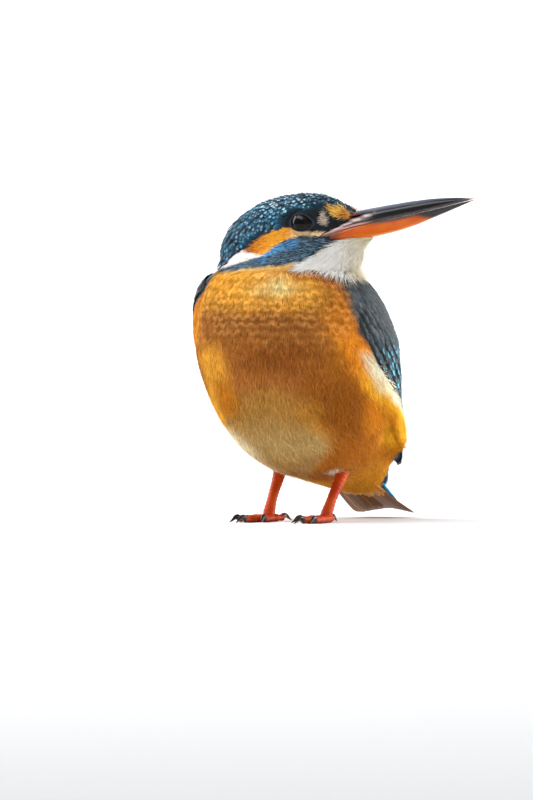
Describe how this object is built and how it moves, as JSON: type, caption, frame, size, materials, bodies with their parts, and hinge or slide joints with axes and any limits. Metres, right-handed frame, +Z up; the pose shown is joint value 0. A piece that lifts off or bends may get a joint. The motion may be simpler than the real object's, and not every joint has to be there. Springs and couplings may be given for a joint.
{
  "type": "common kingfisher",
  "caption": "Life-size standing common kingfisher, a small dagger-billed river bird with its head turned to one side, as a still display model.",
  "frame": {"origin": "on the floor at the middle of the bird's outline seen from above", "axes": "+Z up, -Y the way the breast faces, +X the bird's left, which is the way the bill points"},
  "size_m": [0.0904, 0.0854, 0.094],
  "materials": {
    "crown_feathers": "soft barred feathers, blackish blue with azure spots",
    "body_feathers": "soft hair-like feathers, orange over the breast and flanks, buff on the belly",
    "wing_feathers": "sleek vaned feathers, dark blue-green with azure spots",
    "tail_feathers": "sleek vaned feathers, dark blue above and grey-brown below",
    "bill_black": "horn, satin",
    "bill_orange": "horn, satin",
    "eye": "wet gloss",
    "leg_skin": "scaled skin, satin",
    "claw": "horn, satin"
  },
  "bodies": {
    "root": {"head": "crown_feathers", "neck": "body_feathers", "trunk": "body_feathers", "bill_upper": "bill_black", "bill_lower": "bill_orange", "tail": "tail_feathers", "eye_left": "eye", "wing_left": "wing_feathers", "leg_left": "leg_skin", "claw_left_inner": "claw", "claw_left_middle": "claw", "claw_left_outer": "claw", "claw_left_hind": "claw", "eye_right": "eye", "wing_right": "wing_feathers", "leg_right": "leg_skin", "claw_right_inner": "claw", "claw_right_middle": "claw", "claw_right_outer": "claw", "claw_right_hind": "claw"}
  },
  "joints": []
}
